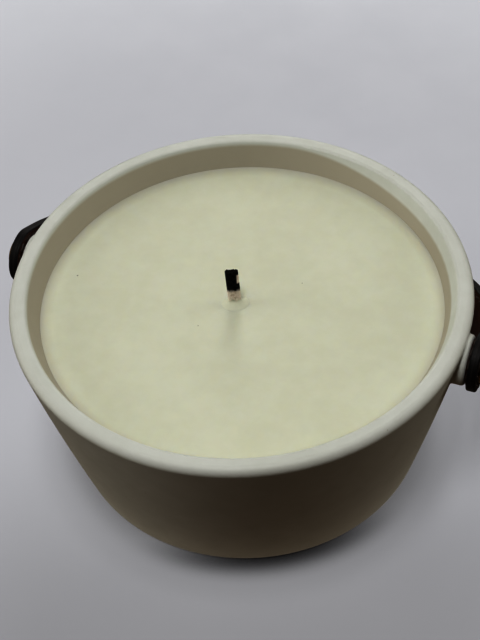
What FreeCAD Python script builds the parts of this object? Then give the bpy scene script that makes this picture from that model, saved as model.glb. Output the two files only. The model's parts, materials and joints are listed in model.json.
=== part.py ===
import FreeCAD, Part
import math
import os
from types import SimpleNamespace

import Sketcher

# A candle poured into a ceramic bowl, with a leather carry strap that swings on two side studs.
# Millimetres and degrees. The origin is the middle of the foot, +Z is up, the stud axis runs along X,
# and the strap hangs behind the bowl, on the +Y side.

DIMENSIONS = {
    # bowl
    "rim_radius": 55.6,
    "bowl_height": 50.0,
    "base_radius": 44.6,
    "wall_sweep": 900.0,
    "lip_width": 4.3,
    "lip_outer_round": 1.8,
    "lip_inner_round": 0.8,
    "foot_round": 1.8,
    "foot_inner_radius": 36.4,
    "foot_recess": 1.2,
    "cavity_radius": 41.8,
    "cavity_floor": 5.5,
    "cavity_round": 6.0,
    # bosses, cast with the bowl, and the hinge line through them
    "stud_height": 42.2,
    "boss_radius": 6.1,
    "boss_start": 51.5,
    "boss_reach": 56.35,
    "boss_round": 0.9,
    "boss_root_round": 0.6,
    # wax
    "wax_level": 42.8,
    "wax_edge_radius": 48.6,
    "wax_edge_height": 43.4,
    "wax_edge_run": 2.5,
    "wax_edge_sweep": 5.4,
    # wick and its holder, set a little off the middle and turned to face the front
    "wick_offset": -1.6,
    "wick_turn": 23.0,
    "wick_width": 3.2,
    "wick_thickness": 1.5,
    "wick_tip_height": 54.0,
    "wick_lean": 0.4,
    "sticker_radius": 8.5,
    "sticker_thickness": 0.6,
    "tab_radius": 9.5,
    "tab_thickness": 0.4,
    "tab_neck_wall": 0.45,
    "tab_neck_height": 6.5,
    # studs, inserts, washers and eyelets
    "insert_radius": 3.0,
    "insert_length": 3.6,
    "insert_well": 3.8,
    "thread_radius": 1.9,
    "thread_length": 3.4,
    "shoulder_radius": 2.4,
    "running_gap": 0.05,
    "side_gap": 0.1,
    "washer_radius": 5.2,
    "washer_thickness": 0.3,
    "eyelet_wall": 0.4,
    "eyelet_flange_radius": 4.3,
    "eyelet_flange": 0.3,
    "eyelet_ring": 0.2,
    "head_radius": 4.6,
    "head_rim": 0.6,
    "head_crown": 1.4,
    "head_sweep": 8.26,
    "slot_width": 0.9,
    "slot_depth": 0.8,
    # strap: three bonded plies bent round the bowl
    "lining_thickness": 0.8,
    "core_thickness": 0.4,
    "outer_thickness": 1.1,
    "strap_flat": 4.8,
    "strap_width": 13.8,
    "strap_edge_round": 0.4,
    "strap_droop": 28.4,
    "trim_margin": 12.0,
}


ACROSS = FreeCAD.Vector(1, 0, 0)
UPRIGHT = FreeCAD.Vector(0, 0, 1)


class Size:
    """A length worked out from the sheet: its value now and the expression that binds it."""

    def __init__(self, value, text):
        self.value = value
        self.text = text

    def joined(self, sign, other, value):
        other_text = other.text if isinstance(other, Size) else str(other)
        return Size(value, f"({self.text} {sign} {other_text})")

    def __add__(self, other):
        return self.joined("+", other, self.value + number(other))

    def __sub__(self, other):
        return self.joined("-", other, self.value - number(other))

    def __mul__(self, other):
        return self.joined("*", other, self.value * number(other))

    def __truediv__(self, other):
        return self.joined("/", other, self.value / number(other))

    def __neg__(self):
        return self * -1


def number(size):
    return size.value if isinstance(size, Size) else float(size)


def make_sheet(doc):
    sheet = doc.addObject("Spreadsheet::Sheet", "dims")
    for row, (alias, value) in enumerate(DIMENSIONS.items(), start=1):
        sheet.set(f"A{row}", alias)
        sheet.set(f"B{row}", str(value))
        sheet.setAlias(f"B{row}", alias)
    doc.recompute()
    sizes = {alias: Size(float(sheet.get(alias)), f"dims.{alias}") for alias in DIMENSIONS}
    return SimpleNamespace(**sizes)


doc = FreeCAD.newDocument("candle_pot")
dim = make_sheet(doc)


# Sketches


def origin_part(body, role):
    return next(item for item in body.Origin.OriginFeatures if item.Role == role)


def new_sketch(body, name, plane, lift=None):
    sketch = body.newObject("Sketcher::SketchObject", name)
    sketch.AttachmentSupport = [(origin_part(body, plane), "")]
    sketch.MapMode = "FlatFace"
    if lift is not None:
        sketch.setExpression("AttachmentOffset.Base.z", lift.text)
    return sketch


def set_at_wick(item, placement):
    """Moves a body or a level sketch to the wick's place and turns it the wick's way."""
    turn = FreeCAD.Rotation(UPRIGHT, dim.wick_turn.value)
    setattr(item, placement, FreeCAD.Placement(FreeCAD.Vector(dim.wick_offset.value, 0, 0), turn))
    item.setExpression(f"{placement}.Base.x", dim.wick_offset.text)
    item.setExpression(f"{placement}.Rotation.Angle", f"{dim.wick_turn.text} * 1 deg")
    return item


def constrain(sketch, size, kind, *where):
    index = sketch.addConstraint(Sketcher.Constraint(kind, *where, number(size)))
    sketch.setExpression(f"Constraints[{index}]", size.text)


def pin(sketch, geometry, end, point):
    """Holds an end of a sketch line at its distances from the origin."""
    for kind, axis, size in (("DistanceX", -2, point[0]), ("DistanceY", -1, point[1])):
        if isinstance(size, Size):
            constrain(sketch, size, kind, -1, 1, geometry, end)
        else:
            sketch.addConstraint(Sketcher.Constraint("PointOnObject", geometry, end, axis))


def vector(point):
    return FreeCAD.Vector(number(point[0]), number(point[1]), 0)


def arc_between(start, end, centre):
    """An arc that turns anticlockwise from start to end."""
    spoke, last = start - centre, end - centre
    first_angle = math.atan2(spoke.y, spoke.x)
    last_angle = math.atan2(last.y, last.x)
    if last_angle <= first_angle:
        last_angle += 2 * math.pi
    circle = Part.Circle(centre, UPRIGHT, spoke.Length)
    return Part.ArcOfCircle(circle, first_angle, last_angle)


def swept(radius, side):
    """An edge bent to a radius; its centre is left (1) or right (-1) of the way it runs."""

    def add(sketch, start, end):
        a, b = vector(start), vector(end)
        chord = b - a
        rise = math.sqrt(number(radius) ** 2 - (chord.Length / 2) ** 2)
        across = FreeCAD.Vector(-chord.y, chord.x, 0).normalize()
        centre = (a + b) / 2 + across * (rise * side)
        geometry = sketch.addGeometry(arc_between(*((a, b) if side > 0 else (b, a)), centre), False)
        constrain(sketch, radius, "Radius", geometry)
        return (geometry, 1, 2) if side > 0 else (geometry, 2, 1)

    return add


def half_round(centre, side):
    """An edge that is half a circle round a point on one of the sketch's axes."""

    def add(sketch, start, end):
        a, b = vector(start), vector(end)
        ends = (a, b) if side > 0 else (b, a)
        geometry = sketch.addGeometry(arc_between(*ends, vector(centre)), False)
        along = FreeCAD.Vector(b - a)
        free_axis = 1 if abs(along.x) > abs(along.y) else 0
        size = centre[free_axis]
        if isinstance(size, Size):
            constrain(sketch, size, ("DistanceX", "DistanceY")[free_axis], -1, 1, geometry, 3)
        else:
            axis = (-2, -1)[free_axis]
            sketch.addConstraint(Sketcher.Constraint("PointOnObject", geometry, 3, axis))
        return (geometry, 1, 2) if side > 0 else (geometry, 2, 1)

    return add


def straight(sketch, start, end):
    geometry = sketch.addGeometry(Part.LineSegment(vector(start), vector(end)), False)
    return geometry, 1, 2


def outline(sketch, corners):
    """Draws a closed outline. A corner is (x, y), or (x, y, bend) where the edge after it is bent."""
    edges = []
    for index, corner in enumerate(corners):
        add = corner[2] if len(corner) > 2 else straight
        edges.append(add(sketch, corner[:2], corners[(index + 1) % len(corners)][:2]))
    for index, (geometry, begin, finish) in enumerate(edges):
        follower, follower_begin, _ = edges[(index + 1) % len(edges)]
        ends = (geometry, finish, follower, follower_begin)
        sketch.addConstraint(Sketcher.Constraint("Coincident", *ends))
        pin(sketch, geometry, begin, corners[index][:2])


def circle(sketch, radius, centre):
    shape = Part.Circle(vector(centre), UPRIGHT, number(radius))
    geometry = sketch.addGeometry(shape, False)
    constrain(sketch, radius, "Radius", geometry)
    pin(sketch, geometry, 3, centre)


def oblong(sketch, width, thickness):
    """A slot outline with round ends, lying along the sketch's first axis."""
    reach = (width - thickness) / 2
    half = thickness / 2
    corners = [(reach, -half, half_round((reach, 0), 1)), (reach, half)]
    outline(sketch, corners + [(-reach, half, half_round((-reach, 0), 1)), (-reach, -half)])


# Features


def new_body(label):
    body = doc.addObject("PartDesign::Body", label)
    body.Label = label
    return body


def revolve(body, sketch, axis):
    feature = body.newObject("PartDesign::Revolution", f"{body.Name}_turned")
    feature.Profile = sketch
    feature.ReferenceAxis = (sketch, [axis])
    feature.Angle = 360
    doc.recompute()
    return feature


def cut_through(body, sketch, name):
    """Cuts a sketch through the whole body, both ways from its plane."""
    before = body.Shape.Volume
    feature = body.newObject("PartDesign::Pocket", name)
    feature.Profile = sketch
    feature.Type = "ThroughAll"
    feature.Midplane = True
    doc.recompute()
    assert body.Shape.Volume < before, f"{name} cut nothing"
    return feature


def pad(body, sketch, name, length):
    feature = body.newObject("PartDesign::Pad", name)
    feature.Profile = sketch
    feature.setExpression("Length", length.text)
    doc.recompute()
    return feature


def sink(body, sketch, name, depth):
    """Cuts a sketch into the body, down from its plane."""
    before = body.Shape.Volume
    feature = body.newObject("PartDesign::Pocket", name)
    feature.Profile = sketch
    feature.setExpression("Length", depth.text)
    doc.recompute()
    assert body.Shape.Volume < before, f"{name} cut nothing"
    return feature


def round_edges(body, name, radius, chosen):
    """Rounds the edges of the body that the test chooses."""
    base = body.Tip
    names = [f"Edge{i}" for i, edge in enumerate(base.Shape.Edges, start=1) if chosen(edge)]
    assert names, f"{name} found no edge"
    feature = body.newObject("PartDesign::Fillet", name)
    feature.Base = (base, names)
    feature.setExpression("Radius", radius.text)
    doc.recompute()
    return feature


def same(found, wanted):
    """Whether two lengths agree to a hundredth of a millimetre."""
    return abs(found - number(wanted)) < 0.01


def is_circle(edge, axis):
    """Whether an edge is a circle about that direction."""
    return isinstance(edge.Curve, Part.Circle) and same(abs(edge.Curve.Axis.dot(axis)), 1)


def is_ring(edge, radius, height):
    """Whether an edge is a level circle of that radius at that height."""
    if not is_circle(edge, UPRIGHT):
        return False
    return same(edge.Curve.Radius, radius) and same(edge.Curve.Center.z, height)


# Bowl and wax, turned about the upright axis, and the wick with its holder

lip_inner_radius = dim.rim_radius - dim.lip_width
wall_bend = swept(dim.wall_sweep, 1)


def make_bowl():
    body = new_body("pot")
    sketch = new_sketch(body, "pot_profile", "XZ_Plane")
    outline(
        sketch,
        [
            (0, dim.foot_recess),
            (dim.foot_inner_radius, dim.foot_recess),
            (dim.foot_inner_radius, 0),
            (dim.base_radius, 0, wall_bend),
            (dim.rim_radius, dim.bowl_height),
            (lip_inner_radius, dim.bowl_height),
            (dim.wax_edge_radius, dim.wax_edge_height),
            (dim.cavity_radius, dim.cavity_floor),
            (0, dim.cavity_floor),
        ],
    )
    revolve(body, sketch, "V_Axis")
    rounds = [
        ("pot_foot_edge", dim.foot_round, dim.base_radius, 0),
        ("pot_cavity_corner", dim.cavity_round, dim.cavity_radius, dim.cavity_floor),
        ("pot_lip_outside", dim.lip_outer_round, dim.rim_radius, dim.bowl_height),
        ("pot_lip_inside", dim.lip_inner_round, lip_inner_radius, dim.bowl_height),
    ]
    for name, fillet, radius, height in rounds:
        round_edges(body, name, fillet, lambda edge: is_ring(edge, radius, height))
    add_bosses(body)
    return body


def add_bosses(body):
    face = new_sketch(body, "boss_outline", "YZ_Plane", dim.boss_start)
    circle(face, dim.boss_radius, (0, dim.stud_height))
    boss = pad(body, face, "boss", dim.boss_reach - dim.boss_start)
    well_mouth = new_sketch(body, "insert_well_outline", "YZ_Plane", dim.boss_reach)
    circle(well_mouth, dim.insert_radius, (0, dim.stud_height))
    well = sink(body, well_mouth, "insert_well", dim.insert_well)
    pair = body.newObject("PartDesign::Mirrored", "boss_pair")
    pair.Originals = [boss, well]
    pair.MirrorPlane = (origin_part(body, "YZ_Plane"), [""])
    body.Tip = pair
    doc.recompute()

    def is_boss_end(edge):
        return is_circle(edge, ACROSS) and same(edge.Curve.Radius, dim.boss_radius)

    round_edges(body, "boss_ends", dim.boss_round, is_boss_end)

    def is_boss_root(edge):
        middle = edge.valueAt((edge.FirstParameter + edge.LastParameter) / 2)
        from_axis = math.hypot(middle.y, middle.z - dim.stud_height.value)
        return same(from_axis, dim.boss_radius) and not isinstance(edge.Curve, (Part.Circle, Part.Line))

    round_edges(body, "boss_roots", dim.boss_root_round, is_boss_root)


tab_floor = dim.cavity_floor + dim.sticker_thickness
tab_top = tab_floor + dim.tab_thickness
neck_top = tab_floor + dim.tab_neck_height
neck_width = dim.wick_width + dim.tab_neck_wall * 2
neck_thickness = dim.wick_thickness + dim.tab_neck_wall * 2


def make_wax():
    """The poured wax, with room for the wick, its tab and the tab's sticker."""
    body = new_body("wax_fill")
    sketch = new_sketch(body, "wax_profile", "XZ_Plane")
    outline(
        sketch,
        [
            (0, dim.cavity_floor),
            (dim.cavity_radius, dim.cavity_floor),
            (dim.wax_edge_radius, dim.wax_edge_height, swept(dim.wax_edge_sweep, -1)),
            (dim.wax_edge_radius - dim.wax_edge_run, dim.wax_level),
            (0, dim.wax_level),
        ],
    )
    revolve(body, sketch, "V_Axis")
    corner = lambda edge: is_ring(edge, dim.cavity_radius, dim.cavity_floor)
    round_edges(body, "wax_corner", dim.cavity_round, corner)

    def level(name, height):
        return set_at_wick(new_sketch(body, name, "XY_Plane", height), "AttachmentOffset")

    slot = level("wick_slot_outline", dim.wax_level)
    oblong(slot, dim.wick_width, dim.wick_thickness)
    sink(body, slot, "wick_slot", dim.wax_level - neck_top)
    neck = level("neck_room_outline", neck_top)
    oblong(neck, neck_width, neck_thickness)
    sink(body, neck, "neck_room", neck_top - tab_top)
    tab = level("tab_room_outline", tab_top)
    circle(tab, dim.tab_radius, (0, 0))
    sink(body, tab, "tab_room", dim.tab_thickness)
    sticker = level("sticker_room_outline", tab_floor)
    circle(sticker, dim.sticker_radius, (0, 0))
    sink(body, sticker, "sticker_room", dim.sticker_thickness)
    return body


def make_wick():
    """A flat cotton wick, straight in the wax and leaning a little above it."""
    body = new_body("wick")
    route = new_sketch(body, "wick_route", "XZ_Plane")
    points = [(0, tab_top), (0, dim.wax_level), (-dim.wick_lean, dim.wick_tip_height)]
    stem, _, _ = straight(route, points[0], points[1])
    tip, _, _ = straight(route, points[1], points[2])
    route.addConstraint(Sketcher.Constraint("Coincident", stem, 2, tip, 1))
    pin(route, stem, 1, points[0])
    pin(route, tip, 1, points[1])
    pin(route, tip, 2, points[2])
    section = new_sketch(body, "wick_section", "XY_Plane", tab_top)
    oblong(section, dim.wick_width, dim.wick_thickness)
    doc.recompute()
    pipe = body.newObject("PartDesign::AdditivePipe", "wick_pipe")
    pipe.Profile = section
    pipe.Spine = (route, ["Edge1", "Edge2"])
    pipe.Transition = "Round corner"
    doc.recompute()
    return set_at_wick(body, "Placement")


def make_sustainer():
    """The pressed tab: a flat disc with a neck that is crimped round the wick."""
    body = new_body("wick_sustainer")
    sketch = new_sketch(body, "tab_outline", "XY_Plane", tab_floor)
    circle(sketch, dim.tab_radius, (0, 0))
    pad(body, sketch, "tab_disc", dim.tab_thickness)
    neck = new_sketch(body, "neck_outline", "XY_Plane", tab_top)
    oblong(neck, neck_width, neck_thickness)
    oblong(neck, dim.wick_width, dim.wick_thickness)
    pad(body, neck, "neck", neck_top - tab_top)
    return set_at_wick(body, "Placement")


def make_sticker():
    body = new_body("wick_sticker")
    sketch = new_sketch(body, "sticker_outline", "XY_Plane", dim.cavity_floor)
    circle(sketch, dim.sticker_radius, (0, 0))
    pad(body, sketch, "sticker_disc", dim.sticker_thickness)
    return set_at_wick(body, "Placement")


# Hinge hardware, turned about the stud axis and stacked outwards from each boss

washer_face = dim.boss_reach + dim.washer_thickness
ring_start = washer_face + dim.side_gap
lining_start = ring_start + dim.eyelet_ring
core_start = lining_start + dim.lining_thickness
outer_start = core_start + dim.core_thickness
strap_face = outer_start + dim.outer_thickness
flange_face = strap_face + dim.eyelet_flange
head_start = flange_face + dim.side_gap
barrel_bore = dim.shoulder_radius + dim.running_gap
barrel_radius = barrel_bore + dim.eyelet_wall


def hinge_body(label, side, corners):
    """A turned piece on the stud axis, on the right (1) or left (-1) of the bowl."""
    body = new_body(label)
    sketch = new_sketch(body, f"{label}_profile", "XZ_Plane")
    outline(sketch, corners)
    revolve(body, sketch, "H_Axis")
    half_turn = 0 if side > 0 else 180
    body.Placement = FreeCAD.Placement(
        FreeCAD.Vector(0, 0, dim.stud_height.value),
        FreeCAD.Rotation(UPRIGHT, half_turn),
    )
    body.setExpression("Placement.Base.z", dim.stud_height.text)
    return body


def tube(start, end, bore, radius):
    return [(start, bore), (end, bore), (end, radius), (start, radius)]


def make_stud(label, side):
    rim_end = head_start + dim.head_rim
    crown = rim_end + dim.head_crown
    body = hinge_body(
        label,
        side,
        [
            (dim.boss_reach - dim.thread_length, 0),
            (crown, 0, swept(dim.head_sweep, 1)),
            (rim_end, dim.head_radius),
            (head_start, dim.head_radius),
            (head_start, dim.shoulder_radius),
            (dim.boss_reach, dim.shoulder_radius),
            (dim.boss_reach, dim.thread_radius),
            (dim.boss_reach - dim.thread_length, dim.thread_radius),
        ],
    )
    slot = new_sketch(body, f"{label}_slot_outline", "XY_Plane")
    slot_floor = crown - dim.slot_depth
    past_crown = crown + dim.slot_depth
    half_width = dim.slot_width / 2
    corners = [(slot_floor, -half_width), (past_crown, -half_width)]
    outline(slot, corners + [(past_crown, half_width), (slot_floor, half_width)])
    cut_through(body, slot, f"{label}_slot")
    return body


def make_hinge_side(name, side):
    insert_start = dim.boss_reach - dim.insert_length
    eyelet = [
        (ring_start, barrel_bore),
        (flange_face, barrel_bore),
        (flange_face, dim.eyelet_flange_radius),
        (strap_face, dim.eyelet_flange_radius),
        (strap_face, barrel_radius),
        (ring_start, barrel_radius),
    ]
    insert = tube(insert_start, dim.boss_reach, dim.thread_radius, dim.insert_radius)
    washer = tube(dim.boss_reach, washer_face, barrel_bore, dim.washer_radius)
    ring = tube(ring_start, lining_start, barrel_radius, dim.eyelet_flange_radius)
    return [
        hinge_body(f"{name}_insert", side, insert),
        hinge_body(f"{name}_washer", side, washer),
        hinge_body(f"{name}_eyelet_ring", side, ring),
        hinge_body(f"{name}_eyelet", side, eyelet),
        make_stud(f"{name}_stud", side),
    ]


# Strap, drawn flat in its own plane: along Y away from the studs, and hung at its angle.
# Its ends are flat under the eyelets, and the bend starts beyond them.


def make_ply(label, inner, thickness):
    """One ply of the strap: a band bent into a U, with rounded ends."""
    body = new_body(label)
    plan = new_sketch(body, f"{label}_plan", "XY_Plane")
    outside = inner + thickness
    foot = -dim.trim_margin
    bend = (0, dim.strap_flat)
    outline(
        plan,
        [
            (outside, foot),
            (outside, dim.strap_flat, half_round(bend, 1)),
            (-outside, dim.strap_flat),
            (-outside, foot),
            (-inner, foot),
            (-inner, dim.strap_flat, half_round(bend, -1)),
            (inner, dim.strap_flat),
            (inner, foot),
        ],
    )
    band = body.newObject("PartDesign::Pad", f"{label}_band")
    band.Profile = plan
    band.Midplane = True
    band.setExpression("Length", dim.strap_width.text)
    doc.recompute()
    trim_ply(body, label)
    return body


def trim_ply(body, label):
    """Rounds off both ends about the stud axis and cuts the holes for the eyelets."""
    half_width = dim.strap_width / 2
    beyond = -(dim.trim_margin + half_width)
    ends = new_sketch(body, f"{label}_ends", "YZ_Plane")
    outline(
        ends,
        [
            (0, half_width, half_round((0, 0), 1)),
            (0, -half_width),
            (beyond, -half_width),
            (beyond, half_width),
        ],
    )
    cut_through(body, ends, f"{label}_round_ends")
    hole = new_sketch(body, f"{label}_hole", "YZ_Plane")
    circle(hole, barrel_radius, (0, 0))
    cut_through(body, hole, f"{label}_eyelet_holes")


def round_ply(body, face_radius):
    """Rounds the edges all round the ply's showing face, but not those of its holes."""

    def on_face(point):
        past_bend = max(point.y - dim.strap_flat.value, 0)
        return same(math.hypot(point.x, past_bend), face_radius)

    def at_border(point):
        return same(math.hypot(min(point.y, 0), point.z), dim.strap_width / 2)

    def is_face_edge(edge):
        first, last = edge.FirstParameter, edge.LastParameter
        points = [edge.valueAt(first + (last - first) * share) for share in (0.1, 0.5, 0.9)]
        return all(on_face(point) and at_border(point) for point in points)

    round_edges(body, f"{body.Name}_edge", dim.strap_edge_round, is_face_edge)
    return body


def hang(body):
    body.Placement = FreeCAD.Placement(
        FreeCAD.Vector(0, 0, dim.stud_height.value),
        FreeCAD.Rotation(-ACROSS, dim.strap_droop.value),
    )
    body.setExpression("Placement.Base.z", dim.stud_height.text)
    body.setExpression("Placement.Rotation.Angle", f"{dim.strap_droop.text} * 1 deg")
    return body


def make_strap():
    return [
        hang(round_ply(make_ply("strap_lining", lining_start, dim.lining_thickness), lining_start)),
        hang(make_ply("strap_core", core_start, dim.core_thickness)),
        hang(round_ply(make_ply("strap_outer", outer_start, dim.outer_thickness), strap_face)),
    ]


def check(bodies):
    doc.recompute()
    for item in doc.Objects:
        assert not {"Invalid", "Error"} & set(item.State), f"{item.Label}: {item.State}"
    for body in bodies:
        shape = body.Shape
        assert not shape.isNull() and shape.isValid(), f"{body.Label} is not a good solid"
        assert len(shape.Solids) == 1, f"{body.Label} has {len(shape.Solids)} solids"


bodies = [make_bowl(), make_wax(), make_wick(), make_sustainer(), make_sticker()]
bodies += make_hinge_side("right", 1) + make_hinge_side("left", -1)
bodies += make_strap()
check(bodies)
os.makedirs("parts", exist_ok=True)
for body in bodies:
    body.Shape.exportStep(f"parts/{body.Label}.step")
    print(f"{body.Label}: {body.Shape.Volume:.1f} mm3")
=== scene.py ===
import json
import math

import bpy
from mathutils import Matrix, Vector


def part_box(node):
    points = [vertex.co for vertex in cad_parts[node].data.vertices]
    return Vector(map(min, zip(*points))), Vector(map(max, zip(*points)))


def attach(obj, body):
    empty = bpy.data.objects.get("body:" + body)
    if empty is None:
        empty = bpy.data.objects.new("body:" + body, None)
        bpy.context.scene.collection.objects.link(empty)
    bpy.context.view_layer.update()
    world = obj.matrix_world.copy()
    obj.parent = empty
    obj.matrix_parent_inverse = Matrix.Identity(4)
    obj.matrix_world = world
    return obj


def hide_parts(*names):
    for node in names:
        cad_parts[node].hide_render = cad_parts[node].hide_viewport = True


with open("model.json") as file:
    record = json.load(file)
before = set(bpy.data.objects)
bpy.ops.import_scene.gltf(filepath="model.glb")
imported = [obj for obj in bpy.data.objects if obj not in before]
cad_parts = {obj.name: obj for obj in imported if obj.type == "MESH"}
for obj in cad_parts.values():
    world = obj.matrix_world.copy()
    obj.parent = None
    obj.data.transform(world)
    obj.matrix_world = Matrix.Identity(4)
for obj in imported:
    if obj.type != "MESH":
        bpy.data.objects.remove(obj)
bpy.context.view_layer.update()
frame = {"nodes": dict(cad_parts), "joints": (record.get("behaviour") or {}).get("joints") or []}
nodes = frame["nodes"]
mm = 0.001  # the frame is in metres, sizes below are in millimetres
smoothAngle = 60  # degrees up to which an edge is shaded smooth
mergeGap = 0.002  # points closer than this become one
noiseMiddle = (0.3, 0.7)  # the range that most of a noise lies in


# Modelling helpers


def deselectAll():
    if bpy.context.object and bpy.context.object.mode != "OBJECT":
        bpy.ops.object.mode_set(mode="OBJECT")
    bpy.ops.object.select_all(action="DESELECT")


def selectOnly(piece):
    deselectAll()
    piece.select_set(True)
    bpy.context.view_layer.objects.active = piece


def editMode():
    bpy.ops.object.mode_set(mode="EDIT")
    bpy.ops.mesh.select_mode(type="VERT")
    bpy.ops.mesh.select_all(action="SELECT")


def objectMode():
    bpy.ops.object.mode_set(mode="OBJECT")


def extrudeRing(step, scale):
    # draws the selected end out by a step and resizes it
    bpy.ops.mesh.extrude_region_move(TRANSFORM_OT_translate={"value": step})
    bpy.ops.transform.resize(value=scale)


def cleanMesh():
    bpy.ops.mesh.select_all(action="SELECT")
    bpy.ops.mesh.remove_doubles(threshold=mergeGap * mm)
    bpy.ops.mesh.normals_make_consistent(inside=False)


def smoothShade(piece):
    selectOnly(piece)
    bpy.ops.object.shade_smooth_by_angle(angle=math.radians(smoothAngle))


def joinPieces(pieces, name):
    deselectAll()
    for piece in pieces:
        piece.select_set(True)
    bpy.context.view_layer.objects.active = pieces[0]
    bpy.ops.object.join()
    joined = bpy.context.object
    joined.name = joined.data.name = name
    return joined


def dress(piece, material):
    if not piece.material_slots:
        piece.data.materials.append(material)
    for slot in piece.material_slots:
        slot.material = material


# Shader helpers


def addNode(tree, kind, inputs=None, **settings):
    node = tree.nodes.new(kind)
    for name, value in settings.items():
        setattr(node, name, value)
    for name, value in (inputs or {}).items():
        if isinstance(value, bpy.types.NodeSocket):
            tree.links.new(value, node.inputs[name])
        else:
            node.inputs[name].default_value = value
    return node


def mathNode(tree, operation, *values):
    inputs = dict(enumerate(values))
    return addNode(tree, "ShaderNodeMath", inputs, operation=operation).outputs[0]


def multiply(tree, first, second):
    return mathNode(tree, "MULTIPLY", first, second)


def lengthOf(tree, vector):
    node = addNode(tree, "ShaderNodeVectorMath", {0: vector}, operation="LENGTH")
    return node.outputs["Value"]


def reachAlong(tree, vector, way):
    node = addNode(tree, "ShaderNodeVectorMath", {0: vector, 1: way}, operation="DOT_PRODUCT")
    return node.outputs["Value"]


def stretch(tree, vector, scale, location=(0, 0, 0), rotation=(0, 0, 0)):
    inputs = {"Vector": vector, "Scale": scale, "Location": location, "Rotation": rotation}
    return addNode(tree, "ShaderNodeMapping", inputs).outputs[0]


def mixColour(tree, factor, first, second):
    inputs = {0: factor, 6: first, 7: second}
    return addNode(tree, "ShaderNodeMix", inputs, data_type="RGBA").outputs[2]


def fadeBetween(tree, value, start, end, low=0.0, high=1.0):
    inputs = {"Value": value, "From Min": start, "From Max": end, "To Min": low, "To Max": high}
    node = addNode(tree, "ShaderNodeMapRange", inputs, interpolation_type="SMOOTHSTEP")
    return node.outputs["Result"]


def noiseAt(tree, vector, scale, detail=4.0, roughness=0.55):
    inputs = {"Vector": vector, "Scale": scale, "Detail": detail, "Roughness": roughness}
    return addNode(tree, "ShaderNodeTexNoise", inputs).outputs["Fac"]


def spreadNoise(tree, noise, limits):
    return fadeBetween(tree, noise, *noiseMiddle, *limits)


def bumpFrom(tree, height, strength, depth, normal=None):
    inputs = {"Height": height, "Strength": strength, "Distance": depth * mm}
    if normal is not None:
        inputs["Normal"] = normal
    return addNode(tree, "ShaderNodeBump", inputs).outputs["Normal"]


def newMaterial(name):
    material = bpy.data.materials.new(name)
    material.use_nodes = True
    tree = material.node_tree
    shader = tree.nodes["Principled BSDF"]
    coords = addNode(tree, "ShaderNodeTexCoord").outputs["Object"]
    return material, tree, shader, coords


def setShader(tree, shader, **inputs):
    for name, value in inputs.items():
        socket = shader.inputs[name.replace("_", " ")]
        if isinstance(value, bpy.types.NodeSocket):
            tree.links.new(value, socket)
        else:
            socket.default_value = value


def newGroup(name, inputs, outputs):
    group = bpy.data.node_groups.new(name, "ShaderNodeTree")
    for socketName, kind in inputs.items():
        group.interface.new_socket(socketName, in_out="INPUT", socket_type=kind)
    for socketName, kind in outputs.items():
        group.interface.new_socket(socketName, in_out="OUTPUT", socket_type=kind)
    source = group.nodes.new("NodeGroupInput")
    sink = group.nodes.new("NodeGroupOutput")
    return group, source.outputs, sink.inputs


def useGroup(tree, group, **inputs):
    return addNode(tree, "ShaderNodeGroup", inputs, node_tree=group).outputs


# Shared effects

floatSocket = "NodeSocketFloat"
colourSocket = "NodeSocketColor"
vectorSocket = "NodeSocketVector"
mottleSpec = {
    "broadShare": 0.6,
    "fineShare": 0.4,
    "fineScale": 6.3,  # times the broad clouds' scale
    "limits": (0.34, 0.66),
}
grainSpec = {
    "warpScale": 700.0,
    "warp": 0.0006,
    "pebbleEdge": 0.32,
    "slowScale": 260.0,
    "slowShare": 0.6,
    "poreScale": 4200.0,
    "poreShare": 0.25,
}
rubSpec = {
    "tarnish": (0.38, 0.68),
    "markStretch": (0.3, 8.0, 8.0),  # marks run along the studs' axis
    "markScale": 900.0,
}


def makeMottle():
    # two sizes of cloud between a dark and a light tone
    group, given, out = newGroup(
        "surfaceMottle",
        {"Vector": vectorSocket, "Scale": floatSocket, "Dark": colourSocket, "Light": colourSocket},
        {"Colour": colourSocket},
    )
    broad = noiseAt(group, given["Vector"], given["Scale"], detail=3.0)
    fineScale = multiply(group, given["Scale"], mottleSpec["fineScale"])
    fine = noiseAt(group, given["Vector"], fineScale, detail=5.0, roughness=0.6)
    broadPart = multiply(group, broad, mottleSpec["broadShare"])
    blended = mathNode(group, "MULTIPLY_ADD", fine, mottleSpec["fineShare"], broadPart)
    cloud = fadeBetween(group, blended, *mottleSpec["limits"])
    group.links.new(mixColour(group, cloud, given["Dark"], given["Light"]), out["Colour"])
    return group


def mottled(tree, vector, scale, dark, light):
    return useGroup(tree, mottle, Vector=vector, Scale=scale, Dark=dark, Light=light)["Colour"]


def makeSpecks():
    # scattered round specks, few of the cells carrying one
    group, given, out = newGroup(
        "scatteredSpecks",
        {"Vector": vectorSocket, "Scale": floatSocket, "Size": floatSocket, "Share": floatSocket},
        {"Mask": floatSocket},
    )
    inputs = {"Vector": given["Vector"], "Scale": given["Scale"]}
    cells = addNode(group, "ShaderNodeTexVoronoi", inputs)
    near = mathNode(group, "LESS_THAN", cells.outputs["Distance"], given["Size"])
    draw = addNode(group, "ShaderNodeSeparateColor", {0: cells.outputs["Color"]}).outputs[0]
    kept = mathNode(group, "LESS_THAN", draw, given["Share"])
    group.links.new(multiply(group, near, kept), out["Mask"])
    return group


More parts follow.
